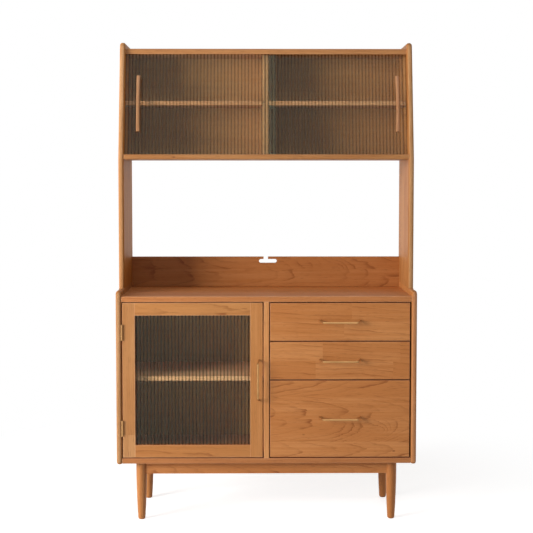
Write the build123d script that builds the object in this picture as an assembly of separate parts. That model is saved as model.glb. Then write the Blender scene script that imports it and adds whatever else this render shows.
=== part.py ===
from build123d import *
import os
from math import atan2, cos, degrees, sqrt

# A cherry sideboard with a hutch. Millimetres, +Z up, front towards -Y. The origin is on the floor,
# in the middle of the width and of the depth, bar handles included.

# ---- Driving dimensions -----------------------------------------------------------------------

# Carcass and hutch
overall_width = 1200.0
cabinet_depth = 400.0
hutch_depth = 290.0
hutch_top_depth = 208.0
leg_height = 242.0
inner_height = 628.0
bay_height = 545.0
upper_height = 413.0
board = 22.0
side_drop = 4.0
side_rise = 22.0
top_rise = 24.0
face_setback = 4.0
hutch_floor_setback = 5.0
hutch_top_setback = 17.0

# Edges
bullnose = 9.0
side_foot_corner = 12.0
side_top_corner = 20.0
hutch_top_corner = 22.0
kink_radius = 80.0
arris = 2.0
hutch_board_round = 7.0

# Back panels
back_panel = 6.0
back_inset = 6.0
panel_groove = 6.0
groove_clearance = 0.1

# Shelves and their supports
shelf_board = 18.0
shelf_front_setback = 45.0
shelf_rear_gap = 2.0
shelf_end_gap = 0.5
hutch_shelf_lift = 202.0
divider_gap = 8.0
pin_radius = 2.5
pin_depth = 9.0
pin_tab = (8.0, 12.0, 3.0)
pin_inset = 40.0
pin_pitch = 32.0

# Cable backboard
backboard_height = 130.0
backboard_thickness = 18.0
backboard_rear_gap = 4.0
slot_width = 77.0
slot_height = 17.0
slot_below_top = 10.0
slot_offset = 9.0
neck_width = 19.0

# Base
leg_side_inset = 93.0
leg_front_inset = 62.0
leg_rear_inset = 55.0
leg_radius = 21.5
ankle_radius = 14.3
leg_taper_height = 220.0
foot_round = 7.0
apron_height = 54.0
apron_thickness = 20.0
tenon_thickness = 10.0
tenon_margin = 10.0
tenon_reach = 8.0

# Gaps around the door and the drawer fronts
face_gap = 3.0
drawer_gap = 3.6
drawer_right_gap = 5.5
door_handle_gap = 4.2
face_thickness = 20.0

# Door
frame_width = 50.0
rebate_width = 8.0
glass_setback = 8.0
glass_thickness = 5.0
bead_clearance = 0.2
glass_edge_gap = 1.0
door_tenon = (30.0, 8.0, 30.0)

# Fluted glass
flute_pitch = 14.0
flute_depth = 1.3

# Butt hinges
hinge_height = 64.0
hinge_inset = 118.0
leaf_thickness = 1.5
leaf_width = 17.0
barrel_radius = 4.0
barrel_proud = 3.5
hinge_pin_radius = 1.75
hinge_pin_clearance = 0.05
knuckle_count = 5
knuckle_gap = 0.2
barrel_leaf_gap = 0.4

# Brass bar handles
handle_centres = 160.0
handle_projection = 34.0
handle_rod_radius = 4.0
handle_foot = 6.0
handle_splay = 12.0
handle_drop = 4.0
large_handle_lift = 2.5
handle_bend = 8.0
door_handle_inset = 19.5

# Magnetic catch
catch_size = (40.0, 12.0, 14.0)
catch_inset = 9.0
catch_air_gap = 0.3
plate_size = (36.0, 1.5, 14.0)
plate_top_margin = 1.0

# Drawers
small_drawer_height = 152.0
small_box_height = 112.0
large_box_height = 236.0
drawer_side = 12.0
drawer_length = 340.0
drawer_side_clearance = 5.0
drawer_floor = 6.0
drawer_floor_lift = 8.0
drawer_floor_groove = 6.0
drawer_box_lift = 14.0
drawer_back_inset = 6.0
drawer_back_drop = 8.0
front_housing = 8.0
runner_height = 18.0
runner_bite = 5.5
runner_groove_depth = 6.0
runner_play = 0.3
runner_front_gap = 6.5
runner_rear_gap = 6.0

# Sliding glass
pane_setback = 26.0
pane_gap = 4.0
channel_play = 0.5
track_wall = 3.0
track_floor = 2.0
lower_channel = 5.0
upper_channel = 12.0
pane_upper_entry = 6.0
pane_seat_gap = 0.3
pane_side_gap = 1.0
front_pane_reach = 39.0
rear_pane_reach = 20.0

# Wooden pulls on the sliding glass
pull_length = 233.0
pull_end_width = 17.0
pull_waist_width = 15.0
pull_projection = 24.0
pull_end_thickness = 12.0
pull_foot_length = 20.0
pull_finger_gap = 11.0
left_pull_inset = 54.0
right_pull_inset = 36.5
pull_round = 6.0

# Fasteners
dowel_radius = 4.0
dowel_half_length = 16.0
dowel_edge = 60.0
bolt_radius = 4.0
bolt_in_leg = 40.0
bolt_in_board = 16.0
hole_clearance = 0.1
screw_radius = 1.75
screw_head_radius = 3.5
screw_head_height = 2.0
runner_screw_length = 22.0
leaf_screw_length = 14.0
plate_screw_length = 12.0
catch_screw_length = 26.0
handle_screw_radius = 1.75
handle_screw_head = (4.0, 2.5)
handle_screw_bite = 5.0

# ---- Places worked out from them --------------------------------------------------------------

handle_reach = handle_projection - face_setback
front_y = (handle_reach - cabinet_depth) / 2
back_y = front_y + cabinet_depth
face_y = front_y + face_setback
face_back_y = face_y + face_thickness
hutch_front_y = back_y - hutch_depth
panel_back_y = back_y - back_inset
panel_front_y = panel_back_y - back_panel

side_outer_x = overall_width / 2
side_inner_x = side_outer_x - board
partition_x = board / 2

z_deck_under = leg_height
z_deck = z_deck_under + board
z_worktop_under = z_deck + inner_height
z_worktop = z_worktop_under + board
z_side_foot = z_deck_under - side_drop
z_side_top = z_worktop + side_rise
z_hutch_floor_under = z_worktop + bay_height
z_hutch_floor = z_hutch_floor_under + board
z_hutch_ceiling = z_hutch_floor + upper_height
z_hutch_top = z_hutch_ceiling + board
z_peak = z_hutch_top + top_rise

lean_rise = z_peak - z_hutch_floor_under
lean_run = hutch_depth - hutch_top_depth
lean_angle = atan2(lean_run, lean_rise)
hutch_top_front_y = back_y - hutch_top_depth


def leaning_y(z):
    """Y of the hutch's leaning front edge at a height."""
    return hutch_front_y + (z - z_hutch_floor_under) * lean_run / lean_rise


def across(thickness):
    """The level width that a leaning layer of this thickness takes up."""
    return thickness / cos(lean_angle)


hutch_floor_front_y = hutch_front_y + hutch_floor_setback
hutch_top_board_front_y = leaning_y(z_hutch_ceiling + board / 2) + hutch_top_setback
backboard_back_y = back_y - backboard_rear_gap
backboard_front_y = backboard_back_y - backboard_thickness
z_backboard_top = z_worktop + backboard_height

leg_x = side_outer_x - leg_side_inset
leg_front_y = front_y + leg_front_inset
leg_rear_y = back_y - leg_rear_inset
z_apron_under = z_deck_under - apron_height

door_x = (-side_inner_x + face_gap, -partition_x - door_handle_gap)
door_z = (z_deck + drawer_gap, z_worktop_under - face_gap)
drawer_x = (partition_x + face_gap, side_inner_x - drawer_right_gap)

pane_depth = across(glass_thickness)
rear_pane_setback = pane_setback + pane_depth + across(pane_gap)
track_setback = pane_setback - channel_play - track_wall
track_width = rear_pane_setback + pane_depth + channel_play + track_wall - track_setback
divider_setback = rear_pane_setback + pane_depth + divider_gap

nodes = {}

# ---- Helpers ----------------------------------------------------------------------------------


def block(x, y, z):
    """A box between the two values given for each axis."""
    return Pos(x[0], y[0], z[0]) * Solid.make_box(x[1] - x[0], y[1] - y[0], z[1] - z[0])


def both_sides(x):
    """A range of X and its mirror image across the middle."""
    return [x, (-x[1], -x[0])]


def rod(start, direction, radius, length):
    """A round bar from a point along a direction."""
    return Solid.make_cylinder(radius, length, Plane(origin=start, z_dir=direction))


def one_solid(shape):
    """The single solid that a boolean leaves."""
    solids = shape.solids()
    if len(solids) != 1:
        raise ValueError(f"expected one solid, found {len(solids)}")
    return solids[0]


def cut(body, tools):
    """The body without the volume of each tool."""
    return one_solid(body.cut(*tools))


def outline_prism(points, radii, x):
    """A closed outline in Y and Z, its corners rounded, carried across a range of X."""
    wire = FilletPolyline(*[(x[0], y, z) for y, z in points], radius=radii, close=True)
    return one_solid(extrude(make_face(wire.edges()), amount=x[1] - x[0], dir=(1, 0, 0)))


def leaning_block(x, setback, depth, z):
    """A box that leans with the hutch front, level at both ends, set back from the front edge."""
    low_y = leaning_y(z[0]) + setback
    high_y = leaning_y(z[1]) + setback
    points = [(low_y, z[0]), (high_y, z[1]), (high_y + depth, z[1]), (low_y + depth, z[0])]
    return outline_prism(points, [0] * 4, x)


def soften(body, axis, faces_y, radius):
    """Round the edges of a board that run along an axis at its front face."""
    edges = [e for e in body.edges().filter_by(axis) if abs(e.center().Y - faces_y) < 0.01]
    return body.fillet(radius, edges)


def edge_board(x, y, z, under=arris, top=arris):
    """A board whose long front edges are softened, each by its own radius."""
    body = block(x, y, z)
    for level, radius in ((z[0], under), (z[1], top)):
        edges = [e for e in body.edges().filter_by(Axis.X)
                 if abs(e.center().Y - y[0]) < 0.01 and abs(e.center().Z - level) < 0.01]
        body = body.fillet(radius, edges)
    return body


def add(name, *solids):
    nodes[name] = list(solids)


# ---- Fasteners, each with the cutter for its hole ----------------------------------------------

dowels = []
dowel_holes = []
screws = {"cabinet_screws": [], "door_screws": []}
screw_holes = []


def add_dowel(x, y, z, direction):
    """A dowel centred on the joint between two boards."""
    axis = Vector(direction)
    centre = Vector(x, y, z)
    gap = axis * hole_clearance
    dowels.append(rod(centre - axis * dowel_half_length, axis, dowel_radius, 2 * dowel_half_length))
    dowel_holes.append(rod(centre - axis * dowel_half_length - gap, axis,
                           dowel_radius + hole_clearance, 2 * (dowel_half_length + hole_clearance)))


def screw_shape(head, axis, length, grow):
    """A countersunk screw whose flat head lies at a point and whose tip lies along the axis."""
    shank = rod(head, axis, screw_radius + grow, length + grow)
    cone = Solid.make_cone(screw_head_radius + grow, screw_radius + grow, screw_head_height,
                           Plane(origin=head, z_dir=axis))
    return one_solid(shank.fuse(cone))


def add_screw(node, head, direction, length):
    axis = Vector(direction)
    screws[node].append(screw_shape(Vector(head), axis, length, 0))
    screw_holes.append(screw_shape(Vector(head), axis, length, hole_clearance))


def near(body, tools):
    """The tools whose box meets the body's box."""
    box = body.bounding_box()
    found = []
    for tool in tools:
        other = tool.bounding_box()
        apart = (other.min.X > box.max.X or other.max.X < box.min.X
                 or other.min.Y > box.max.Y or other.max.Y < box.min.Y
                 or other.min.Z > box.max.Z or other.max.Z < box.min.Z)
        if not apart:
            found.append(tool)
    return found


def drilled(body):
    """The body with the holes of the dowels and screws that pass through it."""
    tools = near(body, dowel_holes + screw_holes)
    return cut(body, tools) if tools else body


def place_dowels():
    """Dowels in every butt joint of the carcass and the hutch."""
    depths = (front_y + dowel_edge, (front_y + back_y) / 2, back_y - dowel_edge)
    hutch_depths = (hutch_front_y + dowel_edge, back_y - dowel_edge)
    top_depths = (hutch_top_board_front_y + dowel_edge, back_y - dowel_edge)
    divider_y = leaning_y(z_hutch_ceiling) + divider_setback
    for side in (-1, 1):
        joint_x = side * side_inner_x
        for y in depths:
            add_dowel(joint_x, y, z_deck_under + board / 2, (1, 0, 0))
            add_dowel(joint_x, y, z_worktop_under + board / 2, (1, 0, 0))
        for y in hutch_depths:
            add_dowel(side * (side_outer_x - board / 2), y, z_side_top, (0, 0, 1))
            add_dowel(joint_x, y, z_hutch_floor_under + board / 2, (1, 0, 0))
        for y in top_depths:
            add_dowel(joint_x, y, z_hutch_ceiling + board / 2, (1, 0, 0))
        add_dowel(joint_x, (backboard_front_y + backboard_back_y) / 2,
                  z_worktop + backboard_height / 2, (1, 0, 0))
    for y in (front_y + dowel_edge, panel_front_y - dowel_edge):
        add_dowel(0, y, z_deck, (0, 0, 1))
        add_dowel(0, y, z_worktop_under, (0, 0, 1))
    for y in (divider_y + dowel_edge / 2, panel_front_y - dowel_edge / 2):
        add_dowel(0, y, z_hutch_floor, (0, 0, 1))
        add_dowel(0, y, z_hutch_ceiling, (0, 0, 1))


# ---- Shelf pins --------------------------------------------------------------------------------

shelf_pins = []
pin_holes = []
shelf_mid_z = (z_deck + z_worktop_under) / 2
door_shelf_z = (shelf_mid_z - shelf_board / 2, shelf_mid_z + shelf_board / 2)
hutch_shelf_z = (z_hutch_floor + hutch_shelf_lift, z_hutch_floor + hutch_shelf_lift + shelf_board)


def add_shelf_pin(wall_x, inward, y, shelf_under):
    """A peg in a wall, with a flat tab that the shelf rests on."""
    length, width, thickness = pin_tab
    z = shelf_under - thickness / 2
    peg = rod((wall_x - inward * pin_depth, y, z), (inward, 0, 0), pin_radius, pin_depth + length / 2)
    tab_x = sorted((wall_x, wall_x + inward * length))
    tab = block(tab_x, (y - width / 2, y + width / 2), (shelf_under - thickness, shelf_under))
    peg_below_shelf = peg.intersect(block((wall_x - 50, wall_x + 50), (y - width, y + width),
                                          (z - width, shelf_under)))
    in_wall_x = sorted((wall_x - inward * pin_depth, wall_x))
    peg_in_wall = peg.intersect(block(in_wall_x, (y - width, y + width), (z - width, z + width)))
    shelf_pins.append(one_solid(tab.fuse(one_solid(peg_below_shelf), one_solid(peg_in_wall))))


def add_pin_hole(wall_x, inward, y, z):
    start = (wall_x - inward * (pin_depth + hole_clearance), y, z)
    pin_holes.append(rod(start, (inward, 0, 0), pin_radius + hole_clearance, pin_depth + 1))


def place_shelf_pins():
    """Four pins under each shelf, and a spare hole above and below those of the door bay."""
    _, _, thickness = pin_tab
    door_rows = (front_y + shelf_front_setback + pin_inset, panel_front_y - pin_inset)
    hutch_front = leaning_y(hutch_shelf_z[0]) + divider_setback
    hutch_rows = (hutch_front + pin_inset, panel_front_y - pin_inset)
    for wall_x, inward in ((-side_inner_x, 1), (-partition_x, -1)):
        for y in door_rows:
            add_shelf_pin(wall_x, inward, y, door_shelf_z[0])
            for step in (-1, 0, 1):
                hole_z = door_shelf_z[0] - thickness / 2 + step * pin_pitch
                add_pin_hole(wall_x, inward, y, hole_z)
    walls = ((-side_inner_x, 1), (-partition_x, -1), (partition_x, 1), (side_inner_x, -1))
    for wall_x, inward in walls:
        for y in hutch_rows:
            add_shelf_pin(wall_x, inward, y, hutch_shelf_z[0])
            add_pin_hole(wall_x, inward, y, hutch_shelf_z[0] - thickness / 2)


# ---- Hinges ------------------------------------------------------------------------------------

hinge_x = -side_inner_x + face_gap / 2
hinge_y = face_y - barrel_proud
hinge_centres = (door_z[1] - hinge_inset, door_z[0] + hinge_inset)
leaf_y = (hinge_y + barrel_radius + barrel_leaf_gap, hinge_y + barrel_radius + leaf_width)


def leaf_x(side):
    """X of a leaf: -1 is let into the side panel, 1 into the door's edge."""
    wall = hinge_x + side * face_gap / 2
    return tuple(sorted((wall, wall + side * leaf_thickness)))


def hinge_leaf(side, z_centre):
    """One leaf with its knuckles: three on the cabinet's leaf, two on the door's."""
    low = z_centre - hinge_height / 2
    knuckle = hinge_height / knuckle_count
    inner_x = leaf_x(side)
    bore = rod((hinge_x, hinge_y, low - 1), (0, 0, 1), hinge_pin_radius + hinge_pin_clearance,
               hinge_height + 2)
    pieces = [block(inner_x, leaf_y, (low, low + hinge_height))]
    for index in range(0 if side < 0 else 1, knuckle_count, 2):
        z0 = low + index * knuckle + knuckle_gap / 2
        z1 = low + (index + 1) * knuckle - knuckle_gap / 2
        pieces.append(rod((hinge_x, hinge_y, z0), (0, 0, 1), barrel_radius, z1 - z0))
        pieces.append(block(inner_x, (hinge_y, leaf_y[1]), (z0, z1)))
    leaf = one_solid(pieces[0].fuse(*pieces[1:]))
    return cut(leaf, [bore])


def hinge_mortises(side):
    """Pockets that let the leaves in flush."""
    return [block(leaf_x(side), (front_y - 1, leaf_y[1] + hole_clearance),
                  (z - hinge_height / 2 - hole_clearance, z + hinge_height / 2 + hole_clearance))
            for z in hinge_centres]


def place_hinges():
    pins = []
    for z in hinge_centres:
        low = z - hinge_height / 2
        pins.append(rod((hinge_x, hinge_y, low), (0, 0, 1), hinge_pin_radius, hinge_height))
        screw_y = (leaf_y[0] + leaf_y[1]) / 2 + 2
        for offset in (-hinge_height / 3, 0, hinge_height / 3):
            add_screw("cabinet_screws", (leaf_x(-1)[1], screw_y, z + offset), (-1, 0, 0),
                      leaf_screw_length)
            add_screw("door_screws", (leaf_x(1)[0], screw_y, z + offset), (1, 0, 0),
                      leaf_screw_length)
    add("hinge_pins", *pins)


# ---- Bar handles -------------------------------------------------------------------------------


def bar_handle():
    """A bent brass rod: two splayed legs and a bar. Its feet lie on the plane Y = 0."""
    half = handle_centres / 2
    bar_y = -(handle_projection - handle_rod_radius)
    bar_half = half - handle_splay
    buried = handle_rod_radius
    path = FilletPolyline((-half, buried, 0), (-half, -handle_foot, 0), (-bar_half, bar_y, -handle_drop),
                          (bar_half, bar_y, -handle_drop), (half, -handle_foot, 0), (half, buried, 0),
                          radius=handle_bend)
    start = Plane(origin=(-half, buried, 0), z_dir=(0, -1, 0))
    bar = one_solid(sweep(start * Circle(handle_rod_radius), path=path))
    behind = block((-handle_centres, handle_centres), (0, 2 * buried), (-half, half))
    holes = [rod((x, 1, 0), (0, -1, 0), handle_screw_radius + hole_clearance,
                 handle_screw_bite + hole_clearance + 1) for x in (-half, half)]
    return cut(bar, [behind] + holes)


def handle_screw(grow=0.0):
    """A pan-head screw through a front, its head on the back and its tip in the handle's foot."""
    head_radius, head_height = handle_screw_head
    shank = rod((0, face_thickness + 0.01, 0), (0, -1, 0), handle_screw_radius + grow,
                face_thickness + handle_screw_bite + 0.01)
    head = rod((0, face_thickness, 0), (0, 1, 0), head_radius, head_height)
    return shank if grow else one_solid(shank.fuse(head))


handle_blank = bar_handle()
half_centres = handle_centres / 2

# ---- Lower carcass -----------------------------------------------------------------------------


def rounded_side(body, keep):
    """Bullnose the long edges of a side, apart from those that keep() holds square."""
    edges = [e for e in body.edges() if e.bounding_box().size.X < 0.01 and not keep(e.center())]
    return body.fillet(bullnose, edges)


def lower_side(x):
    outline = [(front_y, z_side_foot), (front_y, z_side_top), (back_y, z_side_top), (back_y, z_side_foot)]
    body = outline_prism(outline, [side_foot_corner, side_top_corner, 0, 0], x)
    body = rounded_side(body, lambda p: p.Y > back_y - 0.01)
    seat = block(x, (hutch_front_y, back_y), (z_side_top - side_top_corner, z_side_top))
    return one_solid(body.fuse(seat))


lower_back_panel_slot = block(
    (-side_inner_x - panel_groove, side_inner_x + panel_groove),
    (panel_front_y - groove_clearance, panel_back_y + groove_clearance),
    (z_deck - panel_groove, z_worktop_under + panel_groove))
hutch_back_panel_slot = block(
    (-side_inner_x - panel_groove, side_inner_x + panel_groove),
    (panel_front_y - groove_clearance, panel_back_y + groove_clearance),
    (z_hutch_floor - panel_groove, z_hutch_ceiling + panel_groove))


def make_carcass():
    left, right = (-side_outer_x, -side_inner_x), (side_inner_x, side_outer_x)
    slot = lower_back_panel_slot
    left_panel = cut(lower_side(left), [slot] + pin_holes[:6] + hinge_mortises(-1))
    add("left_side_panel", drilled(left_panel))
    add("right_side_panel", drilled(cut(lower_side(right), [slot])))
    across_x = (-side_inner_x, side_inner_x)
    worktop = edge_board(across_x, (face_y, back_y), (z_worktop_under, z_worktop))
    add("worktop", drilled(cut(worktop, [slot])))
    deck = edge_board(across_x, (face_y, back_y), (z_deck_under, z_deck))
    bolts = [rod((x, y, z_deck_under - 1), (0, 0, 1), bolt_radius + hole_clearance,
                 bolt_in_board + hole_clearance + 1) for x, y in leg_places]
    add("bottom_board", drilled(cut(deck, [slot] + bolts)))
    partition = block((-partition_x, partition_x), (face_y, panel_front_y - groove_clearance),
                      (z_deck, z_worktop_under))
    partition = soften(partition, Axis.Z, face_y, arris)
    add("centre_partition", drilled(cut(partition, near(partition, pin_holes))))
    gap = glass_edge_gap / 2
    reach = panel_groove - gap
    add("lower_back_panel", block((-side_inner_x - reach, side_inner_x + reach),
                                  (panel_front_y, panel_back_y),
                                  (z_deck - reach, z_worktop_under + reach)))
    shelf = edge_board((-side_inner_x + shelf_end_gap, -partition_x - shelf_end_gap),
                       (front_y + shelf_front_setback, panel_front_y - shelf_rear_gap), door_shelf_z)
    add("door_bay_shelf", shelf)


# ---- Base --------------------------------------------------------------------------------------

leg_places = [(x, y) for y in (leg_front_y, leg_rear_y) for x in (-leg_x, leg_x)]


def leg_blank():
    """A turned leg: straight at the top, then a long convex taper to a rounded foot."""
    drop = leg_radius - ankle_radius
    arc_radius = (drop ** 2 + leg_taper_height ** 2) / (2 * drop)
    mid_z = leg_taper_height / 2
    mid_radius = leg_radius - (arc_radius - sqrt(arc_radius ** 2 - (leg_taper_height - mid_z) ** 2))
    edges = [
        Edge.make_line((0, 0, 0), (ankle_radius, 0, 0)),
        Edge.make_three_point_arc((ankle_radius, 0, 0), (mid_radius, 0, mid_z),
                                  (leg_radius, 0, leg_taper_height)),
        Edge.make_line((leg_radius, 0, leg_taper_height), (leg_radius, 0, leg_height)),
        Edge.make_line((leg_radius, 0, leg_height), (0, 0, leg_height)),
        Edge.make_line((0, 0, leg_height), (0, 0, 0)),
    ]
    turned = one_solid(revolve(make_face(edges), axis=Axis.Z))
    foot = [e for e in turned.edges() if abs(e.center().Z) < 0.01 and e.length > ankle_radius]
    return turned.fillet(foot_round, foot)


def make_base():
    blank = leg_blank()
    legs = [Pos(x, y, 0) * blank for x, y in leg_places]
    tenon_z = (z_apron_under + tenon_margin, z_deck_under - tenon_margin)
    half = apron_thickness / 2
    half_tenon = tenon_thickness / 2
    apron_z = (z_apron_under, z_deck_under)
    long_aprons = []
    side_aprons = []
    mortises = []
    for y in (leg_front_y, leg_rear_y):
        rail = cut(block((-leg_x, leg_x), (y - half, y + half), apron_z), legs)
        tenon = block((-leg_x + tenon_reach, leg_x - tenon_reach), (y - half_tenon, y + half_tenon), tenon_z)
        long_aprons.append(one_solid(rail.fuse(tenon)))
        mortises.append(tenon)
    for x in (-leg_x, leg_x):
        rail = cut(block((x - half, x + half), (leg_front_y, leg_rear_y), apron_z), legs)
        tenon = block((x - half_tenon, x + half_tenon),
                      (leg_front_y + tenon_reach, leg_rear_y - tenon_reach), tenon_z)
        side_aprons.append(one_solid(rail.fuse(tenon)))
        mortises.append(tenon)
    bolts = []
    bolt_holes = []
    for x, y in leg_places:
        low = z_deck_under - bolt_in_leg
        bolts.append(rod((x, y, low), (0, 0, 1), bolt_radius, bolt_in_leg + bolt_in_board))
        bolt_holes.append(rod((x, y, low - hole_clearance), (0, 0, 1), bolt_radius + hole_clearance,
                              bolt_in_leg + 1))
    add("tapered_legs", *[cut(leg, near(leg, mortises + bolt_holes)) for leg in legs])
    add("long_aprons", *long_aprons)
    add("side_aprons", *side_aprons)
    add("leg_bolts", *bolts)


# ---- Hutch -------------------------------------------------------------------------------------


def hutch_side(x):
    outline = [(hutch_front_y, z_side_top), (hutch_front_y, z_hutch_floor_under),
               (hutch_top_front_y, z_peak), (back_y, z_peak), (back_y, z_side_top)]
    body = outline_prism(outline, [0, kink_radius, hutch_top_corner, 0, 0], x)
    return rounded_side(body, lambda p: p.Y > back_y - 0.01 or p.Z < z_side_top + 0.01)


def track_channels(z):
    """The two channels that the panes run in."""
    width = pane_depth + 2 * channel_play
    return [leaning_block((-side_outer_x, side_outer_x), setback - channel_play, width, z)
            for setback in (pane_setback, rear_pane_setback)]


def make_hutch():
    across_x = (-side_inner_x, side_inner_x)
    slot = hutch_back_panel_slot
    for name, x in (("hutch_left_side", (-side_outer_x, -side_inner_x)),
                    ("hutch_right_side", (side_inner_x, side_outer_x))):
        side = cut(hutch_side(x), [slot])
        holes = near(side, pin_holes)
        add(name, drilled(cut(side, holes)))
    lower_z = (z_hutch_floor - lower_channel - track_floor, z_hutch_floor)
    upper_z = (z_hutch_ceiling, z_hutch_ceiling + upper_channel + track_floor)
    lower_track = leaning_block(across_x, track_setback, track_width, lower_z)
    upper_track = leaning_block(across_x, track_setback, track_width, upper_z)
    floor = edge_board(across_x, (hutch_floor_front_y, back_y), (z_hutch_floor_under, z_hutch_floor),
                       hutch_board_round, hutch_board_round)
    add("hutch_bottom_board", drilled(cut(floor, [slot, lower_track])))
    ceiling = edge_board(across_x, (hutch_top_board_front_y, back_y), (z_hutch_ceiling, z_hutch_top),
                         top=hutch_board_round)
    add("hutch_top_board", drilled(cut(ceiling, [slot, upper_track])))
    lower_channels = track_channels((z_hutch_floor - lower_channel, z_hutch_floor + 1))
    upper_channels = track_channels((z_hutch_ceiling - 1, z_hutch_ceiling + upper_channel))
    add("lower_glass_track", cut(lower_track, lower_channels))
    add("upper_glass_track", cut(upper_track, upper_channels))
    inner_y = panel_front_y - groove_clearance
    low_front = leaning_y(z_hutch_floor) + divider_setback
    high_front = leaning_y(z_hutch_ceiling) + divider_setback
    divider = outline_prism([(low_front, z_hutch_floor), (high_front, z_hutch_ceiling),
                             (inner_y, z_hutch_ceiling), (inner_y, z_hutch_floor)], [0] * 4,
                            (-partition_x, partition_x))
    add("hutch_centre_divider", drilled(cut(divider, near(divider, pin_holes))))
    shelf_y = (leaning_y(hutch_shelf_z[0]) + divider_setback, panel_front_y - shelf_rear_gap)
    shelf_x = (partition_x + shelf_end_gap, side_inner_x - shelf_end_gap)
    add("hutch_shelves", *[edge_board(x, shelf_y, hutch_shelf_z) for x in both_sides(shelf_x)])
    reach = panel_groove - glass_edge_gap / 2
    add("hutch_back_panel", block((-side_inner_x - reach, side_inner_x + reach),
                                  (panel_front_y, panel_back_y),
                                  (z_hutch_floor - reach, z_hutch_ceiling + reach)))
    make_backboard(across_x)


def make_backboard(across_x):
    """The low board behind the worktop, with a T-shaped slot for cables in its top edge."""
    board_y = (backboard_front_y, backboard_back_y)
    body = edge_board(across_x, board_y, (z_worktop, z_backboard_top))
    end_radius = slot_height / 2
    slot_z = z_backboard_top - slot_below_top - end_radius
    straight = slot_width / 2 - end_radius
    tools = [block((slot_offset - straight, slot_offset + straight), (board_y[0] - 1, board_y[1] + 1),
                   (slot_z - end_radius, slot_z + end_radius)),
             block((-neck_width / 2, neck_width / 2), (board_y[0] - 1, board_y[1] + 1),
                   (slot_z, z_backboard_top + 1))]
    for x in (slot_offset - straight, slot_offset + straight):
        tools.append(rod((x, board_y[0] - 1, slot_z), (0, 1, 0), end_radius, backboard_thickness + 2))
    add("cable_backboard", drilled(cut(body, tools)))


# ---- Fluted glass ------------------------------------------------------------------------------


def fluted_pane(x, front, z, lean):
    """Glass with a flat front and rounded upright flutes on its back, between two heights."""
    count = max(1, round((x[1] - x[0]) / flute_pitch))
    pitch = (x[1] - x[0]) / count
    crest = front + (pane_depth if lean else glass_thickness)
    valley = crest - flute_depth
    low = z[0]
    edges = [Edge.make_line((x[1], valley, low), (x[1], front, low)),
             Edge.make_line((x[1], front, low), (x[0], front, low)),
             Edge.make_line((x[0], front, low), (x[0], valley, low))]
    for index in range(count):
        start = x[0] + index * pitch
        edges.append(Edge.make_three_point_arc((start, valley, low), (start + pitch / 2, crest, low),
                                               (start + pitch, valley, low)))
    height = z[1] - z[0]
    rise = Vector(0, lean * height, height)
    return one_solid(extrude(make_face(edges), amount=rise.length, dir=rise.normalized()))


def pull():
    """A bowed wooden pull with a finger gap. Its feet lie on the plane Y = 0 and it runs along Z."""
    half = pull_length / 2
    gap_half = half - pull_foot_length
    width = pull_end_width
    side_edges = [
        Edge.make_line((-width, 0, -half), (-width, -pull_end_thickness, -half)),
        Edge.make_three_point_arc((-width, -pull_end_thickness, -half), (-width, -pull_projection, 0),
                                  (-width, -pull_end_thickness, half)),
        Edge.make_line((-width, -pull_end_thickness, half), (-width, 0, half)),
        Edge.make_line((-width, 0, half), (-width, 0, gap_half)),
        Edge.make_three_point_arc((-width, 0, gap_half), (-width, -pull_finger_gap, 0),
                                  (-width, 0, -gap_half)),
        Edge.make_line((-width, 0, -gap_half), (-width, 0, -half)),
    ]
    bow = one_solid(extrude(make_face(side_edges), amount=2 * width, dir=(1, 0, 0)))
    end, waist = pull_end_width / 2, pull_waist_width / 2
    far_y = -2 * pull_projection
    front_edges = [
        Edge.make_three_point_arc((end, far_y, -half), (waist, far_y, 0), (end, far_y, half)),
        Edge.make_line((end, far_y, half), (-end, far_y, half)),
        Edge.make_three_point_arc((-end, far_y, half), (-waist, far_y, 0), (-end, far_y, -half)),
        Edge.make_line((-end, far_y, -half), (end, far_y, -half)),
    ]
    face = one_solid(extrude(make_face(front_edges), amount=3 * pull_projection, dir=(0, 1, 0)))
    body = one_solid(bow.intersect(face))
    outer = [e for e in body.edges()
             if e.bounding_box().max.Y < -pull_end_thickness + 0.01 and e.length > width]
    return body.fillet(pull_round, outer)


def make_sliding_glass():
    pane_z = (z_hutch_floor - lower_channel + pane_seat_gap, z_hutch_ceiling + pane_upper_entry)
    left_edge = -side_inner_x + pane_side_gap
    right_edge = side_inner_x - pane_side_gap
    lean = lean_run / lean_rise
    places = (("left", (left_edge, front_pane_reach), pane_setback, left_edge + left_pull_inset),
              ("right", (-rear_pane_reach, right_edge), rear_pane_setback,
               right_edge - right_pull_inset))
    mid_z = (z_hutch_floor + z_hutch_ceiling) / 2
    wooden_pull = Rot(X=-degrees(lean_angle)) * pull()
    for side, x, setback, pull_x in places:
        front = leaning_y(pane_z[0]) + setback
        add(f"{side}_glass_pane", fluted_pane(x, front, pane_z, lean))
        pull_place = Pos(pull_x, leaning_y(mid_z) + setback, mid_z)
        add(f"{side}_pane_handle", one_solid(pull_place * wooden_pull))


# ---- Door --------------------------------------------------------------------------------------


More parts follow.
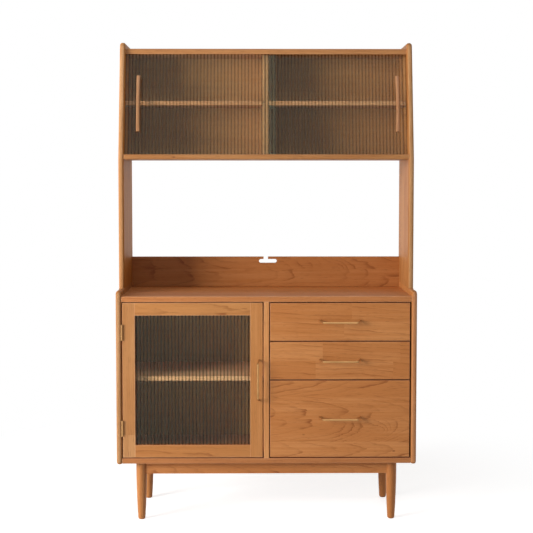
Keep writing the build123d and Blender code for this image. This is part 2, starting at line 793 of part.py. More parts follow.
def make_door():
    x0, x1 = door_x
    z0, z1 = door_z
    sight_x = (x0 + frame_width, x1 - frame_width)
    sight_z = (z0 + frame_width, z1 - frame_width)
    depth = (face_y, face_back_y)
    rebate = block((sight_x[0] - rebate_width, sight_x[1] + rebate_width),
                   (face_y + glass_setback, face_back_y + 1),
                   (sight_z[0] - rebate_width, sight_z[1] + rebate_width))
    tenon_length, tenon_depth, tenon_height = door_tenon
    tenon_y = (face_y + (face_thickness - tenon_depth) / 2, face_y + (face_thickness + tenon_depth) / 2)
    rails = {}
    mortises = []
    for name, rail_z, edge in (("door_top_rail", (sight_z[1], z1), z1), ("door_bottom_rail",
                                                                         (z0, sight_z[0]), z0)):
        inward = -1 if edge == z1 else 1
        shoulder = edge + inward * (frame_width - rebate_width - tenon_height) / 2
        tenon_z = sorted((shoulder, shoulder + inward * tenon_height))
        tenon = block((sight_x[0] - tenon_length, sight_x[1] + tenon_length), tenon_y, tenon_z)
        rail = cut(block(sight_x, depth, rail_z), [rebate])
        rails[name] = one_solid(rail.fuse(tenon))
        mortises.append(tenon)
    stiles = {"door_hinge_stile": (x0, sight_x[0]), "door_handle_stile": (sight_x[1], x1)}
    for name, x in stiles.items():
        stile = cut(block(x, depth, door_z), [rebate] + mortises)
        outer = x0 if name == "door_hinge_stile" else x1
        corner = [e for e in stile.edges().filter_by(Axis.Z)
                  if abs(e.center().X - outer) < 0.01 and abs(e.center().Y - face_y) < 0.01]
        stile = stile.fillet(arris, corner)
        if name == "door_hinge_stile":
            stile = cut(stile, hinge_mortises(1))
        add(name, drilled(cut(stile, near(stile, door_handle_holes))))
    for name, rail in rails.items():
        add(name, drilled(rail))
    margin = rebate_width - glass_edge_gap
    glass_y = face_y + glass_setback
    add("door_glass", fluted_pane((sight_x[0] - margin, sight_x[1] + margin), glass_y,
                                  (sight_z[0] - margin, sight_z[1] + margin), 0))
    bead_y = (glass_y + glass_thickness + bead_clearance, face_back_y)
    upright_z = (sight_z[0] - rebate_width, sight_z[1] + rebate_width)
    beads = [block((sight_x[0] - rebate_width, sight_x[0]), bead_y, upright_z),
             block((sight_x[1], sight_x[1] + rebate_width), bead_y, upright_z),
             block(sight_x, bead_y, (sight_z[0] - rebate_width, sight_z[0])),
             block(sight_x, bead_y, (sight_z[1], sight_z[1] + rebate_width))]
    add("door_glazing_beads", *beads)
    add("hinge_cabinet_leaves", *[drilled(hinge_leaf(-1, z)) for z in hinge_centres])
    add("hinge_door_leaves", *[drilled(hinge_leaf(1, z)) for z in hinge_centres])


door_handle_x = door_x[1] - door_handle_inset
door_handle_z = (door_z[0] + door_z[1]) / 2
door_handle_place = Pos(door_handle_x + handle_drop, face_y, door_handle_z) * Rot(Y=90)
door_handle_holes = []


def place_door_handle():
    """The bar handle turned upright on the handle stile, with its two screws."""
    add("door_handle", one_solid(door_handle_place * handle_blank))
    for x in (-half_centres, half_centres):
        screws["door_screws"].append(one_solid(door_handle_place * Pos(x, 0, 0) * handle_screw()))
        door_handle_holes.append(one_solid(door_handle_place * Pos(x, 0, 0)
                                           * handle_screw(hole_clearance)))


def place_catch():
    """A magnetic catch under the worktop, and the plate that it holds on the door's back."""
    length, depth, height = catch_size
    plate_length, plate_depth, plate_height = plate_size
    mid_x = -partition_x - catch_inset - length / 2
    catch_front = face_back_y + plate_depth + catch_air_gap
    body = block((mid_x - length / 2, mid_x + length / 2), (catch_front, catch_front + depth),
                 (z_worktop_under - height, z_worktop_under))
    plate_top = door_z[1] - plate_top_margin
    plate = block((mid_x - plate_length / 2, mid_x + plate_length / 2),
                  (face_back_y, face_back_y + plate_depth), (plate_top - plate_height, plate_top))
    for offset in (-length / 4, length / 4):
        add_screw("cabinet_screws", (mid_x + offset, catch_front + depth / 2, z_worktop_under - height),
                  (0, 0, 1), catch_screw_length)
        add_screw("door_screws", (mid_x + offset, face_back_y + plate_depth,
                                  plate_top - plate_height / 2), (0, -1, 0), plate_screw_length)
    add("magnetic_catch", drilled(body))
    add("catch_plate", drilled(plate))


# ---- Drawers -----------------------------------------------------------------------------------

large_drawer_height = (z_worktop_under - z_deck) - 2 * small_drawer_height - 4 * drawer_gap
drawer_heights = (small_drawer_height, small_drawer_height, large_drawer_height)
box_heights = (small_box_height, small_box_height, large_box_height)
handle_lifts = (0, 0, large_handle_lift)
box_outer_x = (partition_x + drawer_side_clearance, side_inner_x - drawer_side_clearance)
box_inner_x = (box_outer_x[0] + drawer_side, box_outer_x[1] - drawer_side)
box_back_y = face_back_y + drawer_length
runner_thickness = drawer_side_clearance + runner_bite
runner_y = (face_back_y + runner_front_gap, box_back_y - runner_rear_gap)
runners = []


def drawer_bottoms():
    """The height of each front's lower edge, from the top drawer down."""
    z = z_worktop_under
    result = []
    for height in drawer_heights:
        z -= drawer_gap + height
        result.append(z)
    return result


def make_runners(mid_z):
    """A strip on each wall of the drawer opening, held by three screws."""
    z = (mid_z - runner_height / 2, mid_z + runner_height / 2)
    for wall_x, inward in ((partition_x, 1), (side_inner_x, -1)):
        strip_x = sorted((wall_x, wall_x + inward * runner_thickness))
        head_x = wall_x + inward * runner_thickness
        margin = pin_inset
        for y in (runner_y[0] + margin, (runner_y[0] + runner_y[1]) / 2, runner_y[1] - margin):
            add_screw("cabinet_screws", (head_x, y, mid_z), (-inward, 0, 0), runner_screw_length)
        runners.append(block(strip_x, runner_y, z))


def make_drawer(number, z0, height, box_height, handle_lift):
    mid_x = (drawer_x[0] + drawer_x[1]) / 2
    mid_z = z0 + height / 2
    box_z = (z0 + drawer_box_lift, z0 + drawer_box_lift + box_height)
    runner_z = (box_z[0] + box_z[1]) / 2
    side_y = (face_back_y - front_housing, box_back_y)
    floor_z = (box_z[0] + drawer_floor_lift, box_z[0] + drawer_floor_lift + drawer_floor)
    floor_groove_z = (floor_z[0] - groove_clearance, floor_z[1] + groove_clearance)
    left_x = (box_outer_x[0], box_inner_x[0])
    right_x = (box_inner_x[1], box_outer_x[1])
    handle_place = Pos(mid_x, face_y, mid_z + handle_drop + handle_lift)
    handle_holes = [one_solid(handle_place * Pos(x, 0, 0) * handle_screw(hole_clearance))
                    for x in (-half_centres, half_centres)]
    front = block(drawer_x, (face_y, face_back_y), (z0, z0 + height))
    front = front.fillet(arris, [e for e in front.edges() if abs(e.center().Y - face_y) < 0.01])
    housings = [block(x, side_y, box_z) for x in (left_x, right_x)]
    front_groove = block((box_inner_x[0] - 1, box_inner_x[1] + 1),
                         (face_back_y - drawer_floor_groove, face_back_y + 1), floor_groove_z)
    add(f"drawer_{number}_front", cut(front, housings + [front_groove] + handle_holes))
    sides = []
    groove_y = (face_back_y + runner_front_gap - channel_play, box_back_y + 1)
    groove_z = (runner_z - runner_height / 2 - runner_play, runner_z + runner_height / 2 + runner_play)
    floor_groove_y = (face_back_y - front_housing - 1, box_back_y + 1)
    for x, outer_x, inner_x, inward in ((left_x, left_x[0], left_x[1], 1),
                                        (right_x, right_x[1], right_x[0], -1)):
        runner_groove = block(sorted((outer_x - inward, outer_x + inward * runner_groove_depth)),
                              groove_y, groove_z)
        floor_groove = block(sorted((inner_x + inward, inner_x - inward * drawer_floor_groove)),
                             floor_groove_y, floor_groove_z)
        sides.append(cut(block(x, side_y, box_z), [runner_groove, floor_groove]))
    add(f"drawer_{number}_sides", *sides)
    back_y1 = box_back_y - drawer_back_inset
    add(f"drawer_{number}_back", block(box_inner_x, (back_y1 - drawer_side, back_y1),
                                       (floor_z[1], box_z[1] - drawer_back_drop)))
    bite = drawer_floor_groove - channel_play
    add(f"drawer_{number}_bottom", block((box_inner_x[0] - bite, box_inner_x[1] + bite),
                                         (face_back_y - bite, back_y1), floor_z))
    add(f"drawer_{number}_handle", one_solid(handle_place * handle_blank))
    add(f"drawer_{number}_screws", *[one_solid(handle_place * Pos(x, 0, 0) * handle_screw())
                                     for x in (-half_centres, half_centres)])
    make_runners(runner_z)


# ---- Build -------------------------------------------------------------------------------------

place_dowels()
place_shelf_pins()
place_hinges()
place_door_handle()
place_catch()
for drawer_index, bottom in enumerate(drawer_bottoms()):
    make_drawer(drawer_index + 1, bottom, drawer_heights[drawer_index], box_heights[drawer_index],
                handle_lifts[drawer_index])
make_carcass()
make_base()
make_hutch()
make_sliding_glass()
make_door()
add("drawer_runners", *[drilled(strip) for strip in runners])
add("shelf_pins", *shelf_pins)
add("joint_dowels", *dowels)
for screw_node, screw_solids in screws.items():
    add(screw_node, *screw_solids)

os.makedirs("parts", exist_ok=True)
for node_name, node_solids in nodes.items():
    node_shape = node_solids[0] if len(node_solids) == 1 else Compound(node_solids)
    export_step(node_shape, f"parts/{node_name}.step")
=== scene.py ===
from math import radians

import bmesh
import bpy
from mathutils import Matrix, Vector


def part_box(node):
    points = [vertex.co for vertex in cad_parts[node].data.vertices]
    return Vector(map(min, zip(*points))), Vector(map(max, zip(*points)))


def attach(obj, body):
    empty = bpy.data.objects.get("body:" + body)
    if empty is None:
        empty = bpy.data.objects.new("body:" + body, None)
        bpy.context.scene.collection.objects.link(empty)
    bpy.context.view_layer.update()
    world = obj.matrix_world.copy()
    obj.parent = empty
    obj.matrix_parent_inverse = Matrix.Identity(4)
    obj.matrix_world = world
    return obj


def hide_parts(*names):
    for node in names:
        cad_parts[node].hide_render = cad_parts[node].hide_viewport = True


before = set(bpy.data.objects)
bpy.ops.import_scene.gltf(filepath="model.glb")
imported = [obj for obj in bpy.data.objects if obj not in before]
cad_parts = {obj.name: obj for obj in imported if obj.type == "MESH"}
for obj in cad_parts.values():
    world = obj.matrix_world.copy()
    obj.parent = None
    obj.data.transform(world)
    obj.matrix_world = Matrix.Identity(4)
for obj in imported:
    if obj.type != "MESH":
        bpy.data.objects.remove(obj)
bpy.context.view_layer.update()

GLASS_NODES = ("door_glass", "left_glass_pane", "right_glass_pane")
BRASS_NODES = ("door_handle", "drawer_1_handle", "drawer_2_handle", "drawer_3_handle",
               "hinge_cabinet_leaves", "hinge_door_leaves", "hinge_pins")
# boards that get a pale painted highlight along their edges
EDGE_HIGHLIGHT_NODES = ("door_hinge_stile", "door_handle_stile", "door_top_rail", "door_bottom_rail",
                "drawer_1_front", "drawer_2_front", "drawer_3_front", "centre_partition",
                "worktop", "bottom_board", "hutch_top_board", "hutch_bottom_board")

FLUTE_PITCH = 0.014  # from one flute of the glass to the next
PANE_PASSES = 0.94  # share of the light that a pane lets through to the boards behind it
UNJOINTED = 9.0  # a stave wider or longer than any board, so that no glue joint shows

# Colours as 0 to 255 screen values.
CHERRY = {"pale": (193, 132, 78), "deep": (176, 112, 59), "line": (130, 70, 31),
          "fleck": (92, 46, 22)}
BIRCH = {"pale": (222, 196, 154), "deep": (206, 174, 128), "line": (176, 138, 92),
         "fleck": (150, 112, 74)}
BEECH = {"pale": (206, 166, 122), "deep": (190, 146, 102), "line": (160, 114, 76),
         "fleck": (120, 80, 52)}
# painted highlight for the light that the boards' eased edges catch
EDGE_HIGHLIGHT_COLOUR = (228, 176, 134)
# painted shade, dark red-brown, for the gaps round the fronts
GAP_SHADE_COLOUR = (124, 44, 9)
# painted shade in the valleys between the flutes of the glass
DOOR_GLASS_VALLEY_SHADE = (122, 128, 108)
PANE_VALLEY_SHADE = (168, 164, 142)

# Turns that carry an object's grain direction, and the board's width, onto X and Y of the log.
GRAIN_TURNS = {
    "XZ": (radians(-90), 0, 0),
    "XY": (0, 0, 0),
    "ZY": (0, radians(90), 0),
    "ZX": (radians(90), 0, radians(90)),
    "YZ": (radians(-90), radians(-90), 0),
}

# Screw heads. A rim lists (radius, height) from the head's face down to the shank.
PAN_HEAD = dict(head_radius=0.004, shank_radius=0.00175,
                rim=((0.0032, 0), (0.0039, -0.0006), (0.004, -0.0012), (0.004, -0.0025),
                     (0.00175, -0.0025)))
FLAT_HEAD = dict(head_radius=0.0035, shank_radius=0.00172,
                 rim=((0.00345, 0), (0.0035, -0.0001), (0.00175, -0.002)))
HEAD_TOLERANCE = 3e-4  # by which the two heads' radii can be told apart, in metres


def srgb(red, green, blue):
    """A colour given as 0 to 255 screen values, as the linear RGBA that shaders take."""
    linear = [(v / 255 / 12.92) if v / 255 <= 0.04045 else ((v / 255 + 0.055) / 1.055) ** 2.4
              for v in (red, green, blue)]
    return (*linear, 1.0)


# ---- Shader nodes -------------------------------------------------------------------------------


def feed(tree, socket, value):
    """Gives an input a link from another node's output, or a plain value."""
    if isinstance(value, bpy.types.NodeSocket):
        tree.links.new(value, socket)
    else:
        socket.default_value = value


def calc(tree, operation, *values):
    """Arithmetic on numbers and the outputs of other nodes."""
    node = tree.nodes.new("ShaderNodeMath")
    node.operation = operation
    for socket, value in zip(node.inputs, values):
        feed(tree, socket, value)
    return node.outputs[0]


def vector_calc(tree, operation, *values):
    """The same on vectors. LENGTH gives a number."""
    node = tree.nodes.new("ShaderNodeVectorMath")
    node.operation = operation
    for socket, value in zip(node.inputs, values):
        feed(tree, socket, value)
    return node.outputs["Value" if operation == "LENGTH" else "Vector"]


def split_axes(tree, vector):
    """The outputs X, Y and Z of a vector."""
    node = tree.nodes.new("ShaderNodeSeparateXYZ")
    tree.links.new(vector, node.inputs[0])
    return node.outputs


def combined(tree, *values):
    node = tree.nodes.new("ShaderNodeCombineXYZ")
    for socket, value in zip(node.inputs, values):
        feed(tree, socket, value)
    return node.outputs[0]


def noise(tree, vector, stretch, detail=1.0, roughness=0.5):
    """Soft noise from 0 to 1. A larger stretch along an axis makes it finer that way."""
    node = tree.nodes.new("ShaderNodeTexNoise")
    node.inputs["Scale"].default_value = 1.0
    node.inputs["Detail"].default_value = detail
    node.inputs["Roughness"].default_value = roughness
    tree.links.new(vector_calc(tree, "MULTIPLY", vector, stretch), node.inputs["Vector"])
    return node.outputs["Fac"]


def centred_noise(tree, vector, stretch, roughness=0.5):
    return calc(tree, "SUBTRACT", noise(tree, vector, stretch, roughness=roughness), 0.5)


def white_noise(tree, dimensions, **values):
    """Random outputs that are the same wherever the inputs are."""
    node = tree.nodes.new("ShaderNodeTexWhiteNoise")
    node.noise_dimensions = dimensions
    for name, value in values.items():
        tree.links.new(value, node.inputs[name])
    return node.outputs


def smooth_step(tree, value, low, high):
    """0 at low and 1 at high, where low may be the larger number."""
    node = tree.nodes.new("ShaderNodeMapRange")
    node.interpolation_type = "SMOOTHSTEP"
    node.inputs["From Min"].default_value = low
    node.inputs["From Max"].default_value = high
    tree.links.new(value, node.inputs["Value"])
    return node.outputs["Result"]


def colour_mix(tree, factor, first, second, blend="MIX"):
    node = tree.nodes.new("ShaderNodeMix")
    node.data_type = "RGBA"
    node.blend_type = blend
    # a mix node has sockets of every kind: 6, 7 and output 2 are the colours
    for index, value in ((0, factor), (6, first), (7, second)):
        feed(tree, node.inputs[index], value)
    return node.outputs[2]


def object_coordinates(tree, turn=(0, 0, 0), shift=(0, 0, 0)):
    """Places on the cabinet in metres, first turned and then shifted."""
    coords = tree.nodes.new("ShaderNodeTexCoord")
    mapping = tree.nodes.new("ShaderNodeMapping")
    mapping.inputs["Rotation"].default_value = turn
    mapping.inputs["Location"].default_value = shift
    tree.links.new(coords.outputs["Object"], mapping.inputs["Vector"])
    return mapping.outputs[0]


def facing_front(tree):
    """1 where the object's own surface faces its front, 0 where it faces aside or back."""
    coords = tree.nodes.new("ShaderNodeTexCoord")
    away_from_front = split_axes(tree, coords.outputs["Normal"])["Y"]
    return smooth_step(tree, away_from_front, -0.5, -0.95)


def seen_rays(tree):
    """1 for the rays that show the room to the eye: straight, mirrored, or through glass.

    A ray that a matt surface has scattered counts as light and not as sight."""
    path = tree.nodes.new("ShaderNodeLightPath")
    total = path.outputs["Is Camera Ray"]
    for name in ("Is Glossy Ray", "Is Transmission Ray"):
        total = calc(tree, "MAXIMUM", total, path.outputs[name])
    unscattered = calc(tree, "LESS_THAN", path.outputs["Diffuse Depth"], 0.5)
    return calc(tree, "MULTIPLY", total, unscattered)


def new_material(name):
    """A new material, its node tree and its Principled shader."""
    material = bpy.data.materials.new(name)
    material.use_nodes = True
    tree = material.node_tree
    return material, tree, tree.nodes["Principled BSDF"]


def add_bump(tree, shader, height, distance, strength=1.0):
    bump = tree.nodes.new("ShaderNodeBump")
    bump.inputs["Distance"].default_value = distance
    bump.inputs["Strength"].default_value = strength
    tree.links.new(height, bump.inputs["Height"])
    tree.links.new(bump.outputs[0], shader.inputs["Normal"])


# ---- Shared shading groups ----------------------------------------------------------------------


def new_group(name, inputs, outputs):
    """A shader group with (name, kind, default) inputs and (name, kind) outputs.

    Returns the group, the sockets that bring its inputs in and those that take its outputs."""
    group = bpy.data.node_groups.new(name, "ShaderNodeTree")
    for label, kind, default in inputs:
        socket = group.interface.new_socket(label, in_out="INPUT", socket_type=kind)
        socket.default_value = default
    for label, kind in outputs:
        group.interface.new_socket(label, in_out="OUTPUT", socket_type=kind)
    entry = group.nodes.new("NodeGroupInput")
    leave = group.nodes.new("NodeGroupOutput")
    return group, entry.outputs, leave.inputs


def use_group(tree, group, vector, **values):
    """Places a group. A value's name has an underscore where the input's has a space."""
    node = tree.nodes.new("ShaderNodeGroup")
    node.node_tree = group
    tree.links.new(vector, node.inputs["Vector"])
    for name, value in values.items():
        node.inputs[name.replace("_", " ")].default_value = value
    return node.outputs


def stave_of_log(tree, entry):
    """The place in the log, the row, and a random number for the stave that each point is in."""
    farthest_apart = (5.0, 0.05, 0.05)
    axes = split_axes(tree, entry["Vector"])
    row = calc(tree, "FLOOR", calc(tree, "DIVIDE", axes["Y"], entry["Stave Width"]))
    along = calc(tree, "DIVIDE", axes["X"], entry["Stave Length"])
    column = calc(tree, "FLOOR", calc(tree, "ADD", along, white_noise(tree, "1D", W=row)["Value"]))
    jitter = white_noise(tree, "2D", Vector=combined(tree, row, column))
    place = vector_calc(tree, "MULTIPLY_ADD", jitter["Color"], farthest_apart, entry["Vector"])
    return place, row, jitter["Value"]


def shell_figure(tree, entry, row):
    """How far a shell figure lifts the rings, and how much each point is on its slope.

    The rings climb along the grain, and dip in an oval round Shell Place."""
    climb_starts, climb_ends = -0.24, 0.13  # metres along the grain from Shell Place
    oval = (27.0, 36.0, 0.0)  # one over its half length and half width in metres
    dip_share = -0.4  # of the whole climb
    offset = vector_calc(tree, "SUBTRACT", entry["Vector"], entry["Shell Place"])
    shell_y = split_axes(tree, entry["Shell Place"])["Y"]
    shell_row = calc(tree, "FLOOR", calc(tree, "DIVIDE", shell_y, entry["Stave Width"]))
    same_row = calc(tree, "COMPARE", row, shell_row, 0.5)
    depth = calc(tree, "MULTIPLY", entry["Shell Height"], same_row)
    climb = smooth_step(tree, split_axes(tree, offset)["X"], climb_starts, climb_ends)
    reach = vector_calc(tree, "LENGTH", vector_calc(tree, "MULTIPLY", offset, oval))
    dip = calc(tree, "EXPONENT",
               calc(tree, "MULTIPLY", calc(tree, "MULTIPLY", reach, reach), -1.0))
    lift = calc(tree, "MULTIPLY", calc(tree, "MULTIPLY_ADD", dip, dip_share, climb), depth)
    slope = calc(tree, "MULTIPLY", climb, calc(tree, "SUBTRACT", 1.0, climb))
    return lift, calc(tree, "MULTIPLY", slope, depth)


def bent_radius(tree, entry, place, row):
    """Distance from the log's middle, bent by the slow figure, the log's taper and the shell."""
    heart_in_stave = 0.8  # of its width, for Stave Centre 1
    wiggle_size = 0.0042  # metres
    ragged_size, ragged_in_shell = 0.0010, 0.5  # metres, and what a shell's slope adds to it
    axes = split_axes(tree, place)
    heart = calc(tree, "MULTIPLY", calc(tree, "ADD", row, heart_in_stave), entry["Stave Width"])
    aside = calc(tree, "SUBTRACT", axes["Y"], calc(tree, "MULTIPLY", heart, entry["Stave Centre"]))
    radius = calc(tree, "SQRT", calc(tree, "ADD", calc(tree, "MULTIPLY", aside, aside),
                                     calc(tree, "MULTIPLY", axes["Z"], axes["Z"])))
    slow = centred_noise(tree, place, (3.2, 11.0, 11.0), roughness=0.4)
    wiggle = centred_noise(tree, place, (15.0, 60.0, 60.0))
    ragged = centred_noise(tree, place, (60.0, 260.0, 260.0))
    lift, slope = shell_figure(tree, entry, row)
    torn = calc(tree, "MULTIPLY_ADD", slope, ragged_in_shell, ragged_size)
    bent = calc(tree, "MULTIPLY_ADD", slow, entry["Figure"], radius)
    bent = calc(tree, "MULTIPLY_ADD", axes["X"], entry["Taper"], bent)
    bent = calc(tree, "MULTIPLY_ADD", wiggle, wiggle_size, bent)
    bent = calc(tree, "ADD", bent, lift)
    return calc(tree, "ADD", bent, calc(tree, "MULTIPLY", ragged, torn))


def growth_ring(tree, turns, place):
    """A line at the end of each turn, after a soft rise.

    Some years leave a strong line and some a faint one, and a line fades along its way."""
    phase = calc(tree, "FRACT", turns)
    fall = smooth_step(tree, phase, 1.0, 0.95)
    sharp = calc(tree, "MULTIPLY", smooth_step(tree, phase, 0.72, 0.94), fall)
    soft = calc(tree, "MULTIPLY", smooth_step(tree, phase, 0.1, 1.0), fall)
    line = calc(tree, "MULTIPLY_ADD", soft, 0.3, calc(tree, "MULTIPLY", sharp, 0.7))
    year = white_noise(tree, "1D", W=calc(tree, "FLOOR", turns))["Value"]
    ring = calc(tree, "MULTIPLY", line, calc(tree, "MULTIPLY_ADD", year, 0.75, 0.25))
    fade = smooth_step(tree, noise(tree, place, (8.0, 34.0, 34.0), 2.0), 0.4, 0.6)
    return calc(tree, "MULTIPLY", ring, calc(tree, "MULTIPLY_ADD", fade, 0.8, 0.25))


def wood_grain_group():
    """Growth rings of a log along X, with fibres, flecks and slow changes of tone.

    The board is glued up from staves of one width across Y and one length along X, each cut from
    another place of the log. Stave Centre 1 puts the log's middle behind each stave, towards its
    upper edge. Shell Place is where one stave shows close, ragged arcs, Shell Height deep, round
    an oval."""
    floats = "NodeSocketFloat"
    vectors = "NodeSocketVector"
    tree, entry, leave = new_group(
        "wood_grain",
        [("Vector", vectors, (0, 0, 0)), ("Ring Width", floats, 0.006), ("Figure", floats, 0.01),
         ("Taper", floats, 0.03), ("Stave Width", floats, 0.07), ("Stave Length", floats, 0.45),
         ("Stave Centre", floats, 0.0), ("Shell Place", vectors, (0, 0, 0)),
         ("Shell Height", floats, 0.0)],
        [("Ring", floats), ("Fibre", floats), ("Tone", floats), ("Fleck", floats),
         ("Height", floats)])
    place, row, stave_tone = stave_of_log(tree, entry)
    bent = bent_radius(tree, entry, place, row)
    ring = growth_ring(tree, calc(tree, "DIVIDE", bent, entry["Ring Width"]), place)
    fibre = noise(tree, place, (9.0, 420.0, 420.0), 2.0, 0.6)
    streak = noise(tree, place, (2.6, 95.0, 95.0), 3.0, 0.6)
    patch = noise(tree, place, (2.4, 13.0, 13.0))
    tone = calc(tree, "MULTIPLY_ADD", streak, 0.6, calc(tree, "MULTIPLY", patch, 0.4))
    tone = calc(tree, "MULTIPLY_ADD", calc(tree, "SUBTRACT", stave_tone, 0.5), 0.34, tone)
    dashes = noise(tree, place, (38.0, 620.0, 620.0), 0.0)
    fleck = smooth_step(tree, dashes, 0.66, 0.78)
    height = calc(tree, "MULTIPLY_ADD", ring, -0.5, calc(tree, "MULTIPLY", fibre, 0.5))
    height = calc(tree, "MULTIPLY_ADD", fleck, -0.6, height)
    for name, socket in (("Ring", ring), ("Fibre", fibre), ("Tone", tone), ("Fleck", fleck),
                         ("Height", height)):
        tree.links.new(socket, leave[name])
    return tree


def painted_edge_highlight_group():
    """1 along the edges of the box from Low to High, where a pale painted highlight stands for the
    light that the eased edges catch.
    """
    vectors = "NodeSocketVector"
    tree, entry, leave = new_group(
        "painted_edge_highlight",
        [("Vector", vectors, (0, 0, 0)), ("Low", vectors, (0, 0, 0)), ("High", vectors, (1, 1, 1)),
         ("Width", "NodeSocketFloat", 0.002)],
        [("Highlight", "NodeSocketFloat")])
    from_low = vector_calc(tree, "SUBTRACT", entry["Vector"], entry["Low"])
    from_high = vector_calc(tree, "SUBTRACT", entry["High"], entry["Vector"])
    x, y, z = split_axes(tree, vector_calc(tree, "MINIMUM", from_low, from_high))
    # a point is on an edge where the second smallest of the three distances is small too
    second = calc(tree, "MAXIMUM", calc(tree, "MINIMUM", x, y),
                  calc(tree, "MINIMUM", calc(tree, "MAXIMUM", x, y), z))
    uneven_highlight = noise(tree, entry["Vector"], (35.0, 35.0, 35.0), 2.0)
    width = calc(tree, "MULTIPLY", entry["Width"], calc(tree, "MULTIPLY_ADD", uneven_highlight, 1.0, 0.5))
    inside = smooth_step(tree, calc(tree, "DIVIDE", second, width), 0.3, 1.0)
    tree.links.new(calc(tree, "SUBTRACT", 1.0, inside), leave["Highlight"])
    return tree


def fine_wear_group():
    """Slow smudges and fine scratches for metal, plastic and glass."""
    floats = "NodeSocketFloat"
    tree, entry, leave = new_group(
        "fine_wear", [("Vector", "NodeSocketVector", (0, 0, 0)), ("Scratch Scale", floats, 900.0)],
        [("Smudge", floats), ("Scratch", floats)])
    smudge = noise(tree, entry["Vector"], (14.0, 14.0, 14.0), 3.0, 0.6)
    scratch = noise(tree, entry["Vector"], entry["Scratch Scale"])
    tree.links.new(smudge, leave["Smudge"])
    tree.links.new(scratch, leave["Scratch"])
    return tree


# ---- Materials ----------------------------------------------------------------------------------


def tinted(colour, tint):
    """A linear colour with its red, green and blue each multiplied by the tint's."""
    return tuple(c * t for c, t in zip(colour, tint)) + (1.0,)


def gap_shade_mask(tree, front):
    """Painted shade for the gaps between parts: 1 on the faces that look aside or back, in a
    narrow strip behind the board's front at Y.
    """
    full_until, gone_after = 0.002, 0.016  # metres behind the front
    strip = smooth_step(tree, split_axes(tree, object_coordinates(tree))["Y"],
                        front + gone_after, front + full_until)
    return calc(tree, "MULTIPLY", calc(tree, "SUBTRACT", 1.0, facing_front(tree)), strip)


def knot_mask(tree, knot):
    """1 in the middle of a small oval on the front of an object, 0 outside it."""
    oval = (130.0, 0.0, 330.0)  # one over its half width and half height in metres
    offset = object_coordinates(tree, shift=[-v for v in knot])
    reach = vector_calc(tree, "LENGTH", vector_calc(tree, "MULTIPLY", offset, oval))
    return smooth_step(tree, reach, 1.1, 0.3)


def wood(name, grain, palette, turn, seed, figure=0.008, taper=0.03, ring_width=0.0065,
         stave=0.074, length=0.52, centre=0.0, line_strength=0.72, tint=(1, 1, 1), front_light_tint=None,
         gloss=0.32, shell=None, box=None, edge_highlight=None, gap_shade=False, knots=()):
    """Oiled wood. grain is the shared group, turn a key of GRAIN_TURNS, seed a place in the log.

    front_light_tint colours the faces that look forward with painted sheen and light, and shell is
    (place in the log, height) of a shell figure. box is the board's lowest and highest corner,
    which
    the next two need: edge_highlight is the group that paints a pale highlight along its edges,
    and gap_shade paints shade on the front of the faces that look aside, in the gaps. knots are
    (place on the object, strength)."""
    material, tree, shader = new_material(name)
    vector = object_coordinates(tree, GRAIN_TURNS[turn], seed)
    shell_place, shell_height = shell or ((0, 0, 0), 0.0)
    masks = use_group(tree, grain, vector, Ring_Width=ring_width, Figure=figure, Taper=taper,
                      Stave_Width=stave, Stave_Length=length, Stave_Centre=centre,
                      Shell_Place=shell_place, Shell_Height=shell_height)
    pale, deep, line, fleck = (tinted(srgb(*palette[key]), tint)
                               for key in ("pale", "deep", "line", "fleck"))
    colour = colour_mix(tree, smooth_step(tree, masks["Tone"], 0.3, 0.7), deep, pale)
    fibre = calc(tree, "MULTIPLY", smooth_step(tree, masks["Fibre"], 0.35, 0.7), 0.22)
    colour = colour_mix(tree, fibre, colour, deep)
    colour = colour_mix(tree, calc(tree, "MULTIPLY", masks["Ring"], line_strength), colour, line)
    colour = colour_mix(tree, calc(tree, "MULTIPLY", masks["Fleck"], 0.3), colour, fleck)
    rough = calc(tree, "MULTIPLY_ADD", masks["Fibre"], 0.12, 0.42)
    rough = calc(tree, "MULTIPLY_ADD", masks["Ring"], 0.08, rough)
    # painted sheen and light: faces that look forward turn paler or darker than the rest of the
    # board
    if front_light_tint:
        tone = colour_mix(tree, facing_front(tree), (1, 1, 1, 1), (*front_light_tint, 1))
        colour = colour_mix(tree, 1.0, colour, tone, "MULTIPLY")
    # a pale painted highlight along the board's eased edges
    if edge_highlight:
        uneven_highlight = use_group(tree, edge_highlight, object_coordinates(tree), Low=box[0], High=box[1])["Highlight"]
        colour = colour_mix(tree, calc(tree, "MULTIPLY", uneven_highlight, 0.6), colour, srgb(*EDGE_HIGHLIGHT_COLOUR))
    # painted shade in the gaps: the front of the faces that look aside turns dark red-brown
    if gap_shade:
        gap_shade_amount = gap_shade_mask(tree, box[0][1])
        colour = colour_mix(tree, calc(tree, "MULTIPLY", gap_shade_amount, 0.9), colour, srgb(*GAP_SHADE_COLOUR))
        rough = calc(tree, "MULTIPLY_ADD", gap_shade_amount, 0.45, rough)
    for knot, strength in knots:
        dark = calc(tree, "MULTIPLY", knot_mask(tree, knot), strength)
        colour = colour_mix(tree, dark, colour, fleck)
    tree.links.new(colour, shader.inputs["Base Color"])
    tree.links.new(rough, shader.inputs["Roughness"])
    shader.inputs["Specular IOR Level"].default_value = gloss
    add_bump(tree, shader, masks["Height"], 0.0001, 0.6)
    return material


def finely_scratched(tree, shader, scratch, roughness, rougher, depth):
    """Sets the roughness between the scratches, what they add to it, and how deep they are."""
    tree.links.new(calc(tree, "MULTIPLY_ADD", scratch, rougher, roughness),
                   shader.inputs["Roughness"])
    add_bump(tree, shader, scratch, depth)


